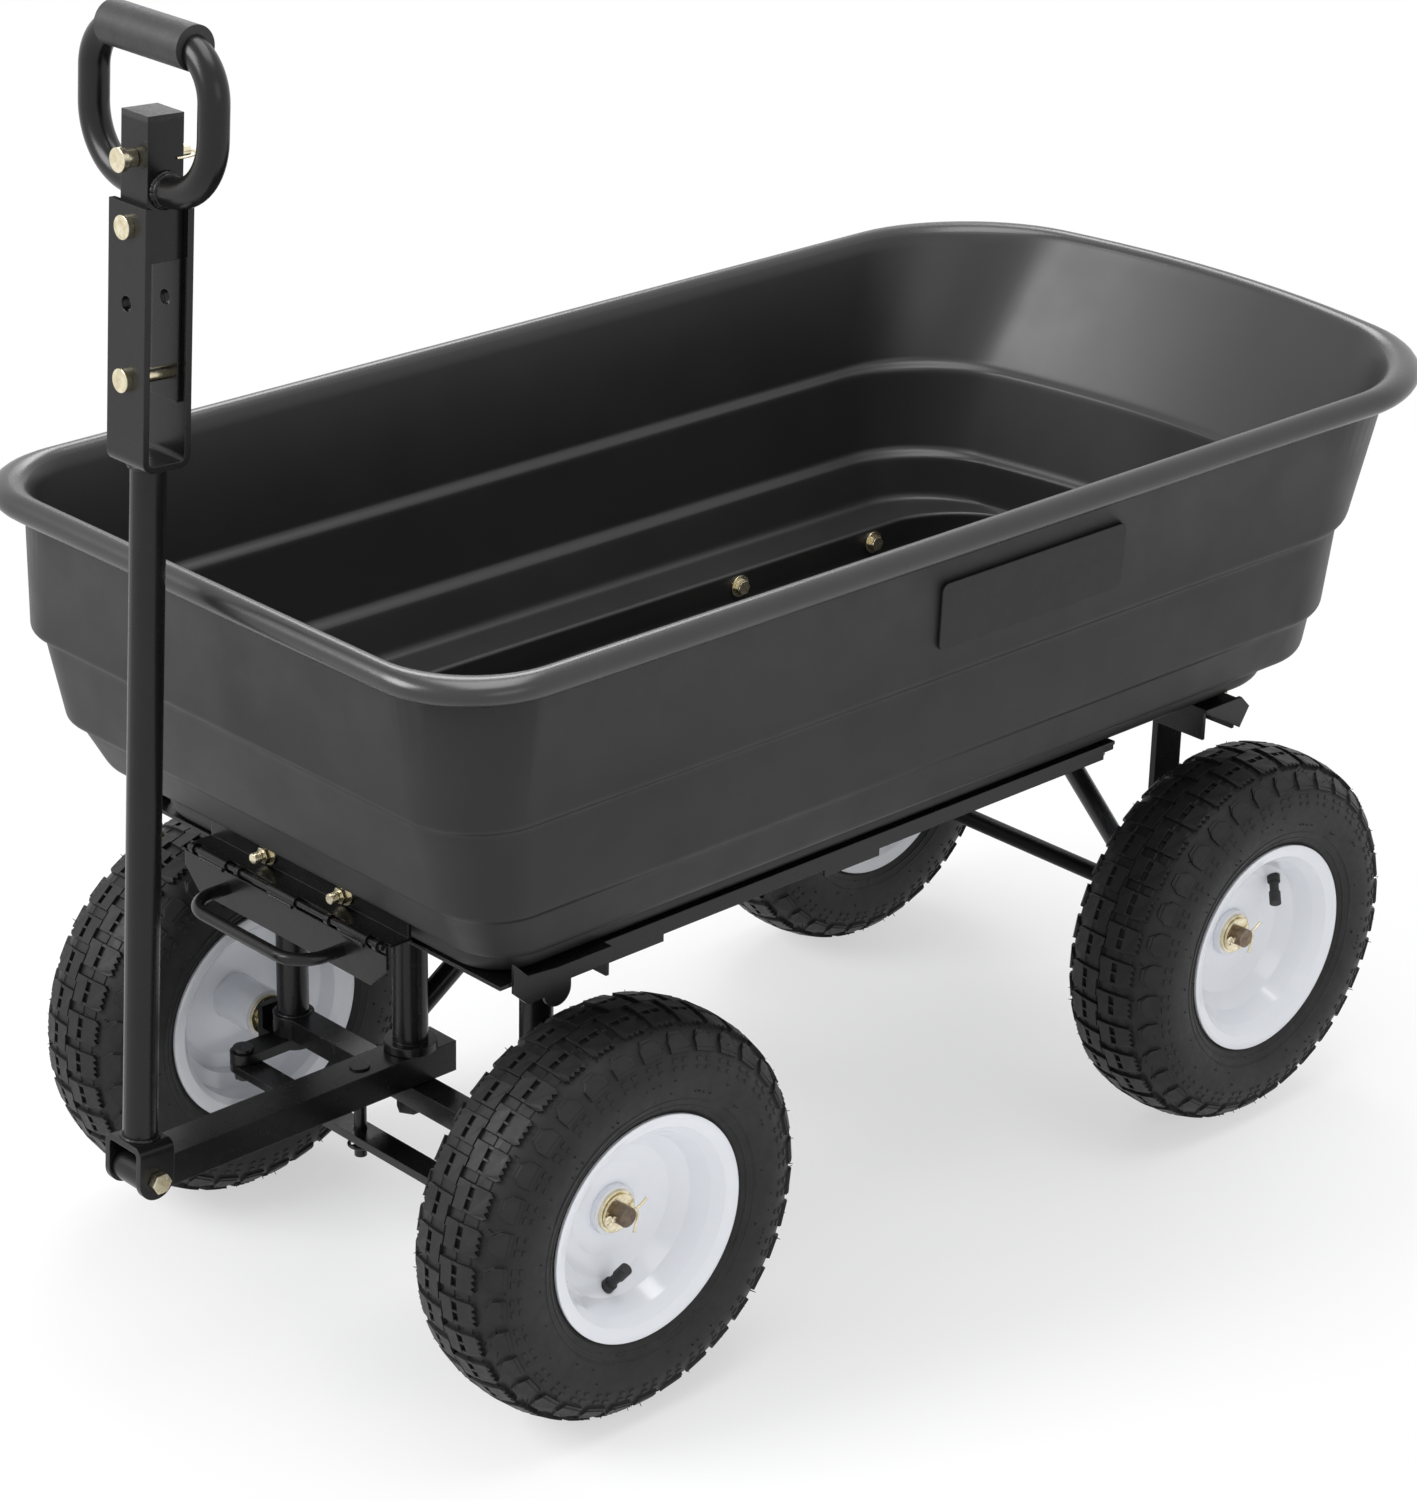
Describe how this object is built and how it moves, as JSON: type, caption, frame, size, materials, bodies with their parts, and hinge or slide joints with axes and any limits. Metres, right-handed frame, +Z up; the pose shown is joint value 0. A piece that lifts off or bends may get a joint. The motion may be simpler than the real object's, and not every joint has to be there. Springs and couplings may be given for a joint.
{
  "type": "tipping dump cart",
  "caption": "Four-wheel garden dump cart: stepped plastic tub that tips back on a steel frame, with steered front wheels, a release latch and an upright pull handle.",
  "frame": {"origin": "on the ground under the middle of the overall length, on the middle plane", "axes": "+X forward towards the handle, +Y to the cart's left, +Z up"},
  "size_m": [1.2184, 0.593, 1.0623],
  "materials": {
    "tub_plastic": "satin moulded",
    "label_plastic": "matte",
    "black_coat": "satin powder coat",
    "yellow_zinc": "yellow zinc plating",
    "axle_steel": "dull oiled steel",
    "white_rim": "gloss enamel",
    "tyre": "moulded rubber",
    "rubber": "matte rubber",
    "grip": "soft matte sleeve"
  },
  "bodies": {
    "chassis": {"front_bolster": "black_coat", "front_posts": "black_coat", "centre_post": "black_coat", "king_bolt": "black_coat", "front_beam": "black_coat", "centre_brace": "black_coat", "side_rails": "black_coat", "cross_bars": "black_coat", "rail_bolts": "yellow_zinc", "rear_stringers": "black_coat", "rear_braces": "black_coat", "rear_posts": "black_coat", "rear_saddle": "black_coat", "tip_pin": "yellow_zinc", "rear_axle": "axle_steel", "rear_axle_stops": "yellow_zinc"},
    "tub": {"tub": "tub_plastic", "label_plates": "label_plastic", "floor_bolts": "yellow_zinc", "hinge_straps": "black_coat", "front_bracket": "black_coat", "bracket_bolts": "yellow_zinc", "latch_rod": "black_coat"},
    "latch": {"latch_plate": "black_coat", "latch_loop": "black_coat"},
    "tongue": {"tongue": "black_coat", "tie_pin": "black_coat", "pivot_bolt": "yellow_zinc"},
    "knuckle_left": {"knuckle_left": "black_coat", "stub_stops_left": "yellow_zinc"},
    "knuckle_right": {"knuckle_right": "black_coat", "stub_stops_right": "yellow_zinc"},
    "tie_rod": {"tie_rod": "black_coat", "tie_bolts": "black_coat"},
    "handle": {"handle_bracket": "black_coat", "handle_tube": "black_coat", "handle_clevis": "black_coat", "clevis_bolts": "yellow_zinc", "grip_column": "black_coat", "column_cap": "rubber", "grip_ring": "black_coat", "grip_sleeve": "grip"},
    "hitch_pin": {"hitch_pin": "yellow_zinc"},
    "wheel_fl": {"tyre_fl": "tyre", "rim_fl": "white_rim", "valve_fl": "rubber", "bushes_fl": "yellow_zinc"},
    "wheel_fr": {"tyre_fr": "tyre", "rim_fr": "white_rim", "valve_fr": "rubber", "bushes_fr": "yellow_zinc"},
    "wheel_rl": {"tyre_rl": "tyre", "rim_rl": "white_rim", "valve_rl": "rubber", "bushes_rl": "yellow_zinc"},
    "wheel_rr": {"tyre_rr": "tyre", "rim_rr": "white_rim", "valve_rr": "rubber", "bushes_rr": "yellow_zinc"}
  },
  "joints": [
    {"name": "tub_tip", "type": "hinge", "parent": "chassis", "child": "tub", "pos_m": [-0.41325, 0, 0.356], "axis": [0, -1, 0], "range_deg": [0, 75]},
    {"name": "latch_release", "type": "hinge", "parent": "tub", "child": "latch", "pos_m": [0.45345, 0, 0.3775], "axis": [0, -1, 0], "range_deg": [0, 25]},
    {"name": "tongue_steer", "type": "hinge", "parent": "chassis", "child": "tongue", "pos_m": [0.33275, 0, 0.1955], "axis": [0, 0, 1], "range_deg": [-20, 20]},
    {"name": "knuckle_left_steer", "type": "hinge", "parent": "chassis", "child": "knuckle_left", "pos_m": [0.33275, 0.148, 0.165], "axis": [0, 0, 1], "range_deg": [-20, 20]},
    {"name": "knuckle_right_steer", "type": "hinge", "parent": "chassis", "child": "knuckle_right", "pos_m": [0.33275, -0.148, 0.165], "axis": [0, 0, 1], "range_deg": [-20, 20]},
    {"name": "tie_rod_swing", "type": "hinge", "parent": "tongue", "child": "tie_rod", "pos_m": [0.38375, 0, 0.1505], "axis": [0, 0, 1], "range_deg": [-20, 20]},
    {"name": "handle_pitch", "type": "hinge", "parent": "tongue", "child": "handle", "pos_m": [0.59375, 0, 0.1955], "axis": [0, 1, 0], "range_deg": [0, 100]},
    {"name": "hitch_pin_slide", "type": "slide", "parent": "handle", "child": "hitch_pin", "axis": [0.9985, 0, 0.0541], "range_m": [0, 0.038]},
    {"name": "wheel_fl_spin", "type": "hinge", "parent": "knuckle_left", "child": "wheel_fl", "pos_m": [0.33275, 0.23, 0.165], "axis": [0, 1, 0], "continuous": true},
    {"name": "wheel_fr_spin", "type": "hinge", "parent": "knuckle_right", "child": "wheel_fr", "pos_m": [0.33275, -0.23, 0.165], "axis": [0, 1, 0], "continuous": true},
    {"name": "wheel_rl_spin", "type": "hinge", "parent": "chassis", "child": "wheel_rl", "pos_m": [-0.38025, 0.23, 0.165], "axis": [0, 1, 0], "continuous": true},
    {"name": "wheel_rr_spin", "type": "hinge", "parent": "chassis", "child": "wheel_rr", "pos_m": [-0.38025, -0.23, 0.165], "axis": [0, 1, 0], "continuous": true}
  ],
  "couplings": [
    {"joint": "knuckle_left_steer", "follows": "tongue_steer", "ratio": 1},
    {"joint": "knuckle_right_steer", "follows": "tongue_steer", "ratio": 1},
    {"joint": "tie_rod_swing", "follows": "tongue_steer", "ratio": -1}
  ]
}
